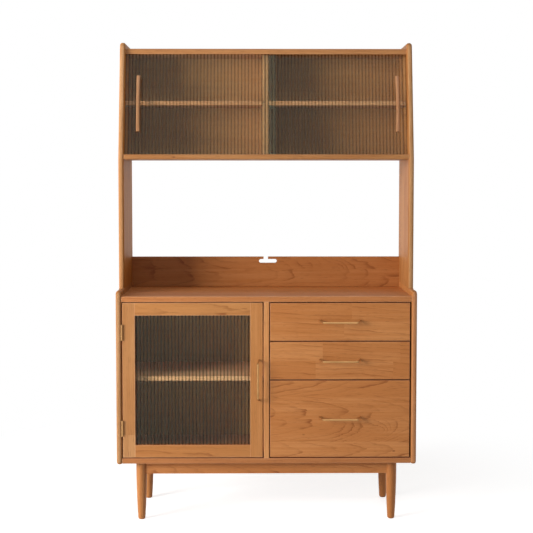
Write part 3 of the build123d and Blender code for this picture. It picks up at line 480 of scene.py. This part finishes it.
def brass(wear):
    """Satin brass, a little darker where it is handled."""
    material, tree, shader = new_material("brushed_brass")
    masks = use_group(tree, wear, object_coordinates(tree), Scratch_Scale=1400.0)
    shader.inputs["Metallic"].default_value = 1.0
    colour = colour_mix(tree, smooth_step(tree, masks["Smudge"], 0.35, 0.7), srgb(190, 147, 97),
                        srgb(174, 132, 84))
    tree.links.new(colour, shader.inputs["Base Color"])
    finely_scratched(tree, shader, masks["Scratch"], 0.42, 0.12, 0.00004)
    return material


def metal(name, wear, base, dark, roughness):
    """Plated metal, whose tone drifts between base and dark."""
    material, tree, shader = new_material(name)
    masks = use_group(tree, wear, object_coordinates(tree), Scratch_Scale=1100.0)
    shader.inputs["Metallic"].default_value = 1.0
    colour = colour_mix(tree, masks["Smudge"], srgb(*dark), srgb(*base))
    tree.links.new(colour, shader.inputs["Base Color"])
    finely_scratched(tree, shader, masks["Scratch"], roughness, 0.15, 0.00003)
    return material


def plastic(name, wear, base, roughness):
    """Moulded plastic, whose tone drifts between base and a lighter one."""
    material, tree, shader = new_material(name)
    masks = use_group(tree, wear, object_coordinates(tree), Scratch_Scale=2200.0)
    lightening = 1.25
    lighter = tuple(min(255, int(v * lightening)) for v in base)
    colour = colour_mix(tree, masks["Smudge"], srgb(*base), srgb(*lighter))
    tree.links.new(colour, shader.inputs["Base Color"])
    finely_scratched(tree, shader, masks["Scratch"], roughness, 0.12, 0.00006)
    return material


def fluted_glass(node, wear, valley_shade_colour):
    """Faintly green glass whose valleys between the flutes let less light through, as painted
    shade that darkens what is seen through them.
    """
    material, tree, shader = new_material(f"fluted_{node}")
    vector = object_coordinates(tree)
    smudge = use_group(tree, wear, vector)["Smudge"]
    low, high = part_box(node)
    width = high[0] - low[0]
    pitch = width / round(width / FLUTE_PITCH)
    from_left = calc(tree, "SUBTRACT", split_axes(tree, vector)["X"], low[0])
    flutes = calc(tree, "DIVIDE", from_left, pitch)
    from_crest = calc(tree, "ABSOLUTE",
                      calc(tree, "SUBTRACT", calc(tree, "FRACT", flutes), 0.5))
    crest_ends, valley_middle = 0.18, 0.5  # of the pitch
    # painted shade: the glass is darker in the valleys between the flutes
    valley_shade = smooth_step(tree, from_crest, crest_ends, valley_middle)
    clear = colour_mix(tree, smudge, srgb(248, 252, 245), srgb(240, 247, 238))
    colour = colour_mix(tree, valley_shade, clear, srgb(*valley_shade_colour))
    tree.links.new(colour, shader.inputs["Base Color"])
    tree.links.new(calc(tree, "MULTIPLY_ADD", smudge, 0.05, 0.02), shader.inputs["Roughness"])
    shader.inputs["IOR"].default_value = 1.33  # below real glass, for a weaker mirror
    shader.inputs["Specular Tint"].default_value = (1.0, 0.96, 0.78, 1.0)
    shader.inputs["Transmission Weight"].default_value = 1.0
    # light falls straight through the pane onto the boards behind it
    path = tree.nodes.new("ShaderNodeLightPath")
    falling = calc(tree, "MAXIMUM", path.outputs["Is Shadow Ray"], path.outputs["Is Diffuse Ray"])
    tree.links.new(calc(tree, "MULTIPLY_ADD", falling, -PANE_PASSES, 1.0), shader.inputs["Alpha"])
    return material


def floor_paint():
    """Pale paint near the cabinet, where its shadow falls, that turns into the white backdrop."""
    fade_starts, fade_ends = 0.9, 1.9  # metres from the middle of the cabinet
    glow_share = 0.72  # of white, which leaves the shadow its depth
    material, tree, shader = new_material("floor_paint")
    shader.inputs["Base Color"].default_value = (0.7, 0.7, 0.7, 1.0)
    shader.inputs["Roughness"].default_value = 0.9
    shader.inputs["Specular IOR Level"].default_value = 0.0
    seen = seen_rays(tree)
    glow = tree.nodes.new("ShaderNodeEmission")
    tree.links.new(calc(tree, "MULTIPLY", seen, glow_share), glow.inputs["Strength"])
    lit = tree.nodes.new("ShaderNodeAddShader")
    backdrop = tree.nodes.new("ShaderNodeEmission")
    backdrop.inputs["Strength"].default_value = 1.0
    distance = vector_calc(tree, "LENGTH", object_coordinates(tree))
    far = calc(tree, "MULTIPLY", smooth_step(tree, distance, fade_starts, fade_ends), seen)
    mix = tree.nodes.new("ShaderNodeMixShader")
    tree.links.new(shader.outputs[0], lit.inputs[0])
    tree.links.new(glow.outputs[0], lit.inputs[1])
    tree.links.new(far, mix.inputs[0])
    tree.links.new(lit.outputs[0], mix.inputs[1])
    tree.links.new(backdrop.outputs[0], mix.inputs[2])
    tree.links.new(mix.outputs[0], tree.nodes["Material Output"].inputs["Surface"])
    return material


# ---- Camera, light and room ---------------------------------------------------------------------


def place_camera():
    """A long lens in front of the hutch's open bay, turned slightly down."""
    data = bpy.data.cameras.new("camera")
    data.lens = 71.19
    data.sensor_width = 36.0
    data.shift_y = -0.0691
    data.clip_end = 60.0
    camera = bpy.data.objects.new("camera", data)
    camera.location = (-0.03836, -4.3519, 1.3965)
    camera.rotation_euler = (radians(90 - 2.966), 0.0, radians(-0.522))
    bpy.context.scene.collection.objects.link(camera)
    bpy.context.scene.camera = camera


def area_light(name, location, target, size, watts, colour=(1, 1, 1), mirrored=True):
    """A rectangular lamp aimed at target. Gloss and glass show it only where mirrored is true."""
    data = bpy.data.lights.new(name, "AREA")
    data.shape = "RECTANGLE"
    data.size, data.size_y = size
    data.energy = watts
    data.color = colour
    light = bpy.data.objects.new(name, data)
    light.location = location
    light.rotation_euler = (Vector(target) - Vector(location)).to_track_quat("-Z", "Y").to_euler()
    light.visible_glossy = mirrored
    light.visible_transmission = mirrored
    bpy.context.scene.collection.objects.link(light)
    return light


def light_room():
    """Soft light from the left and above, with weaker light on the right side and the back.

    Windows aren't mirrored, because in the panes they would hide what is behind the glass. A
    narrow lamp, which is only mirrored, makes the gleam along the door handle instead."""
    daylight = (1.0, 0.985, 0.96)
    area_light("window_light", (-5.5, -3.5, 2.3), (0, 0, 1.0), (2.4, 2.4), 355, daylight,
               mirrored=False)
    area_light("low_left_light", (-3.0, -1.6, 0.9), (0, 0, 0.75), (1.6, 1.0), 50, daylight,
               mirrored=False)
    area_light("ceiling_light", (0.0, -1.8, 3.8), (0, 0, 0.8), (2.2, 1.5), 25)
    area_light("right_fill_light", (6.0, 0.1, 1.1), (0, 0.1, 1.0), (1.6, 1.6), 75, mirrored=False)
    area_light("rear_fill_light", (0.8, 5.5, 1.8), (0, 0, 1.0), (2.5, 2.5), 90, mirrored=False)
    edge_light = area_light("handle_edge_light", (-3.4, -2.0, 0.7), (-0.09, -0.2, 0.58),
                            (0.3, 1.0), 30, daylight)
    edge_light.visible_diffuse = False
    edge_light.visible_transmission = False
    world = bpy.data.worlds.new("studio")
    world.use_nodes = True
    tree = world.node_tree
    tree.nodes.clear()
    ambient = tree.nodes.new("ShaderNodeBackground")
    ambient.inputs["Color"].default_value = (1.0, 0.99, 0.975, 1.0)
    ambient.inputs["Strength"].default_value = 0.1
    backdrop = tree.nodes.new("ShaderNodeBackground")
    backdrop.inputs["Color"].default_value = (1.0, 1.0, 1.0, 1.0)
    backdrop.inputs["Strength"].default_value = 1.0
    mix = tree.nodes.new("ShaderNodeMixShader")
    output = tree.nodes.new("ShaderNodeOutputWorld")
    tree.links.new(seen_rays(tree), mix.inputs[0])
    tree.links.new(ambient.outputs[0], mix.inputs[1])
    tree.links.new(backdrop.outputs[0], mix.inputs[2])
    tree.links.new(mix.outputs[0], output.inputs["Surface"])
    bpy.context.scene.world = world


def lay_floor():
    """A pale floor that reads as white and keeps the cabinet's soft shadow."""
    half_width = 14.0  # metres, far past the place where the floor has turned white
    bm = bmesh.new()
    bmesh.ops.create_grid(bm, x_segments=1, y_segments=1, size=half_width)
    floor = finish_piece("studio_floor", bm, floor_paint())


# ---- Pieces -------------------------------------------------------------------------------------


def finish_piece(name, bm, material):
    """Turns a bmesh into an object at the origin with one material."""
    mesh = bpy.data.meshes.new(name)
    bm.to_mesh(mesh)
    bm.free()
    mesh.materials.append(material)
    piece = bpy.data.objects.new(name, mesh)
    bpy.context.scene.collection.objects.link(piece)
    return piece


def loose_parts(node):
    """The points of each separate solid of a CAD node."""
    bm = bmesh.new()
    bm.from_mesh(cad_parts[node].data)
    bmesh.ops.remove_doubles(bm, verts=bm.verts, dist=1e-6)
    seen = set()
    groups = []
    for start in bm.verts:
        if start in seen:
            continue
        seen.add(start)
        queue, group = [start], []
        while queue:
            vert = queue.pop()
            group.append(vert.co.copy())
            for edge in vert.link_edges:
                other = edge.other_vert(vert)
                if other not in seen:
                    seen.add(other)
                    queue.append(other)
        groups.append(group)
    bm.free()
    return groups


def head_place(points):
    """The middle of a screw's widest end, the way that end faces, and the screw's length."""
    low = Vector([min(p[i] for p in points) for i in range(3)])
    high = Vector([max(p[i] for p in points) for i in range(3)])
    size = high - low
    axis = max(range(3), key=lambda i: size[i])
    middle = (low + high) / 2
    end_depth = 2e-4  # metres from the very end in which a point still belongs to it

    def end_radius(level):
        offsets = [p - middle for p in points if abs(p[axis] - level) < end_depth]
        for offset in offsets:
            offset[axis] = 0
        return max(offset.length for offset in offsets)

    outward = Vector((0, 0, 0))
    at_high = end_radius(high[axis]) > end_radius(low[axis])
    outward[axis] = 1 if at_high else -1
    middle[axis] = high[axis] if at_high else low[axis]
    return middle, outward, size[axis]


def screw_mesh(length, head_radius, shank_radius, rim):
    """A screw that faces +Z, with a cross recess in its head."""
    recess_reach, recess_depth = head_radius * 0.46, head_radius * 0.45
    arm_narrowing, floor_narrowing = 0.75, 0.6
    point_length, point_radius = shank_radius * 1.6, shank_radius * 0.25
    bm = bmesh.new()
    bmesh.ops.create_grid(bm, x_segments=3, y_segments=3, size=recess_reach)
    for vert in bm.verts:
        for axis in (0, 1):
            if abs(vert.co[axis]) < head_radius * 0.3:
                vert.co[axis] *= arm_narrowing
    arms = [f for f in bm.faces if min(abs(v) for v in f.calc_center_median().xy) < 1e-6]
    outer = [e for e in bm.edges if e.is_boundary]
    circle = bmesh.ops.create_circle(bm, segments=12, radius=rim[0][0],
                                     matrix=Matrix.Rotation(radians(15), 4, "Z"))
    ring = [e for e in bm.edges if e.verts[0] in circle["verts"]]
    bmesh.ops.bridge_loops(bm, edges=outer + ring)
    sunk = bmesh.ops.extrude_face_region(bm, geom=arms)
    floor = [v for v in sunk["geom"] if isinstance(v, bmesh.types.BMVert)]
    bmesh.ops.delete(bm, geom=arms, context="FACES_ONLY")
    bmesh.ops.translate(bm, verts=floor, vec=(0, 0, -recess_depth))
    bmesh.ops.scale(bm, verts=floor, vec=(floor_narrowing, floor_narrowing, 1.0))
    wide, level = rim[0][0], 0.0
    point = [(shank_radius, -length + point_length), (point_radius, -length)]
    for radius, z in [*rim[1:], *point]:
        grown = bmesh.ops.extrude_edge_only(bm, edges=ring)
        verts = [v for v in grown["geom"] if isinstance(v, bmesh.types.BMVert)]
        ring = [e for e in grown["geom"] if isinstance(e, bmesh.types.BMEdge) and e.is_boundary]
        bmesh.ops.scale(bm, verts=verts, vec=(radius / wide, radius / wide, 1.0))
        bmesh.ops.translate(bm, verts=verts, vec=(0, 0, z - level))
        wide, level = radius, z
    bmesh.ops.holes_fill(bm, edges=ring, sides=12)
    bmesh.ops.recalc_face_normals(bm, faces=bm.faces)
    mesh = bpy.data.meshes.new("screw_pattern")
    bm.to_mesh(mesh)
    bm.free()
    return mesh


def screws_for(node, body, material):
    """Replaces a node's plain screws with screws that have a cross recess in the head."""
    bm = bmesh.new()
    for points in loose_parts(node):
        middle, outward, length = head_place(points)
        offsets = [p - middle for p in points]
        widest = max((v - outward * v.dot(outward)).length for v in offsets)
        is_pan = abs(widest - PAN_HEAD["head_radius"]) < HEAD_TOLERANCE
        pattern = screw_mesh(length, **(PAN_HEAD if is_pan else FLAT_HEAD))
        start = len(bm.verts)
        bm.from_mesh(pattern)
        bm.verts.ensure_lookup_table()
        turn = Vector((0, 0, 1)).rotation_difference(outward).to_matrix().to_4x4()
        bmesh.ops.transform(bm, matrix=Matrix.Translation(middle) @ turn, verts=bm.verts[start:])
        bpy.data.meshes.remove(pattern)
    piece = finish_piece(node.replace("screws", "cross_screws"), bm, material)
    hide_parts(node)
    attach(piece, body)


# ---- Build --------------------------------------------------------------------------------------


def paint(node, material):
    """Gives a CAD node its only material."""
    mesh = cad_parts[node].data
    mesh.materials.clear()
    mesh.materials.append(material)


def board_list():
    """Every cherry node: grain direction, place in the log, and what else sets it apart."""
    rail = dict(stave=UNJOINTED, length=UNJOINTED, figure=0.006, taper=0.02)
    side = dict(length=UNJOINTED, gloss=0.15)
    sheet = dict(stave=UNJOINTED, length=UNJOINTED)
    wide = dict(length=UNJOINTED)
    # fronts with painted shade in the gaps round them
    front = dict(tint=(1.12, 1.11, 1.13), gap_shade=True)
    small_front = dict(front, stave=0.076, ring_width=0.009, figure=0.014, line_strength=0.6)
    # the tints for forward faces paint sheen and light on them
    return {
        "left_side_panel": ("ZY", (0.3, 0.11, 0.16), dict(
            side, front_light_tint=(0.95, 1.24, 1.85))),
        "right_side_panel": ("ZY", (1.9, 0.05, -0.42), dict(
            side, front_light_tint=(1.18, 1.35, 2.0))),
        "worktop": ("XY", (0.7, 0.30, -0.75), dict(
            wide, figure=0.012, tint=(1.07, 0.96, 0.9), front_light_tint=(0.89, 0.9, 0.96))),
        "bottom_board": ("XY", (2.1, 0.20, -0.12), dict(
            wide, tint=(0.88, 0.81, 0.84), gap_shade=True)),
        "centre_partition": ("ZY", (3.1, 0.14, 0.09), dict(
            wide, front_light_tint=(1.31, 1.46, 1.7), gap_shade=True)),
        "lower_back_panel": ("XZ", (0.2, 0.4, 0.2), dict(
            sheet, front_light_tint=(0.94, 1.3, 1.45))),
        # painted light: the strong pale tint stands for the light through the door's glass and the
        # glass's highlights on the shelf
        "door_bay_shelf": ("XY", (4.1, 0.1, -0.5), dict(
            tint=(1.75, 2.5, 4.5))),
        # painted light: the tint lightens the aprons against the shadow that the bottom board
        # casts on them
        "long_aprons": ("XZ", (5.3, -0.22, -0.1), dict(
            rail, figure=0.02, taper=0.06, ring_width=0.008, tint=(1.13, 1.09, 1.09))),
        "side_aprons": ("YZ", (1.3, 0.07, 0.31), rail),
        "tapered_legs": ("ZX", (6.1, 0.05, 0.03), dict(
            rail, ring_width=0.005)),
        # painted light: the tint lightens and warms the shaded inner face of this side
        "hutch_left_side": ("ZY", (7.2, 0.13, 0.18), dict(
            side, gloss=0.08, tint=(1.1, 1.09, 0.81), front_light_tint=(0.96, 1.27, 2.62))),
        "hutch_right_side": ("ZY", (2.7, 0.02, -0.37), dict(
            side, tint=(0.86, 0.88, 0.9), front_light_tint=(1.24, 1.62, 2.35))),
        "hutch_top_board": ("XY", (8.3, 0.12, -1.8), dict(
            wide, tint=(0.87, 0.93, 1.04))),
        "hutch_bottom_board": ("XY", (4.9, 0.03, -1.36), dict(
            wide, tint=(0.88, 0.97, 1.1), knots=(((-0.375, 0, 1.469), 0.85),))),
        "hutch_centre_divider": ("ZY", (0.9, 0.2, 0.11), dict(
            wide, tint=(1.08, 1.18, 1.58))),
        "hutch_shelves": ("XY", (9.7, 0.1, -1.6), dict(
            tint=(1.03, 1.19, 1.72))),
        "hutch_back_panel": ("XZ", (3.7, -1.35, 0.3), dict(
            sheet, front_light_tint=(0.97, 1.19, 1.48))),
        "cable_backboard": ("XZ", (6.6, -0.99, -0.12), dict(
            sheet, figure=0.034, taper=0.05, ring_width=0.008, line_strength=0.85,
            shell=((6.6 + 0.31, 0.0, 0), 0.04), tint=(0.93, 0.88, 0.89))),
        "upper_glass_track": ("XY", (1.1, 0.1, -1.8), sheet),
        "lower_glass_track": ("XY", (2.2, 0.1, -1.4), sheet),
        "door_hinge_stile": ("ZX", (3.4, 0.62, 0.21), dict(
            rail, tint=(1.01, 1.18, 1.45), gap_shade=True)),
        "door_handle_stile": ("ZX", (5.9, 0.16, 0.23), dict(
            rail, tint=(1.16, 1.28, 1.42), gap_shade=True)),
        "door_top_rail": ("XZ", (0.6, -0.85, 0.25), dict(
            rail, tint=(1.01, 1.06, 1.06), gap_shade=True)),
        "door_bottom_rail": ("XZ", (7.7, -0.17, 0.27), dict(
            rail, tint=(1.06, 1.12, 1.16), gap_shade=True)),
        "door_glazing_beads": ("XZ", (8.8, 0.3, 0.2), sheet),
        "drawer_1_front": ("XZ", (2.45, -0.5846, 0.22), dict(
            small_front, length=0.34)),
        "drawer_2_front": ("XZ", (6.35, -0.428, 0.24), dict(
            small_front, length=0.31)),
        "drawer_3_front": ("XZ", (9.15, -0.512, -0.118), dict(
            front, figure=0.014, taper=0.06, ring_width=0.008, stave=0.091, length=UNJOINTED,
            centre=1.0, line_strength=1.0, shell=((9.15 + 0.458, 0.371 - 0.512, 0), 0.05),
            knots=(((0.51, 0, 0.2914), 0.85), ((0.148, 0, 0.359), 0.45)))),
        "left_pane_handle": ("ZX", (4.4, 0.54, 0.05), dict(
            rail, ring_width=0.004, tint=(0.8, 1.03, 1.65))),
        "right_pane_handle": ("ZX", (6.8, -0.50, 0.04), dict(
            rail, ring_width=0.004, tint=(0.9, 1.13, 1.9))),
    }


def paint_wood():
    """Cherry for the cabinet, birch for the drawers' boxes, beech for runners and dowels."""
    grain = wood_grain_group()
    edge_highlight = painted_edge_highlight_group()
    for node, (turn, seed, values) in board_list().items():
        if node in EDGE_HIGHLIGHT_NODES:
            values = dict(values, edge_highlight=edge_highlight, box=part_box(node))
        paint(node, wood(f"cherry_{node}", grain, CHERRY, turn, seed, **values))

    def plain(name, palette, turn, seed):
        return wood(name, grain, palette, turn, seed, line_strength=0.3)

    birch_flat = plain("birch_flat", BIRCH, "XY", (0.4, 0.2, 0.3))
    birch_upright = plain("birch_upright", BIRCH, "XZ", (1.4, 0.25, 0.3))
    birch_side = plain("birch_side", BIRCH, "YZ", (2.4, 0.25, 0.35))
    for number in (1, 2, 3):
        paint(f"drawer_{number}_bottom", birch_flat)
        paint(f"drawer_{number}_back", birch_upright)
        paint(f"drawer_{number}_sides", birch_side)
    paint("drawer_runners", plain("beech_along", BEECH, "YZ", (3.4, 0.2, 0.2)))
    paint("joint_dowels", plain("beech_dowel", BEECH, "XY", (5.4, 0.2, 0.2)))


def fit_glass_and_metal():
    """The panes, the brass pulls and hinges, and the steel, nickel and plastic fittings."""
    wear = fine_wear_group()
    handle_brass = brass(wear)
    for node in BRASS_NODES:
        paint(node, handle_brass)
    for node in GLASS_NODES:
        valley_shade = DOOR_GLASS_VALLEY_SHADE if node == "door_glass" else PANE_VALLEY_SHADE
        paint(node, fluted_glass(node, wear, valley_shade))
    steel = metal("zinc_steel", wear, (196, 196, 192), (160, 160, 158), 0.28)
    for node in ("leg_bolts", "catch_plate"):
        paint(node, steel)
    paint("shelf_pins", metal("nickel", wear, (206, 202, 196), (180, 176, 170), 0.18))
    paint("magnetic_catch", plastic("brown_plastic", wear, (62, 44, 34), 0.42))
    screws_for("cabinet_screws", "cabinet", steel)
    screws_for("door_screws", "glass_door", steel)
    for number in (1, 2, 3):
        screws_for(f"drawer_{number}_screws", f"drawer_{number}", steel)


bpy.context.scene.view_settings.view_transform = "Standard"
place_camera()
light_room()
lay_floor()
paint_wood()
fit_glass_and_metal()
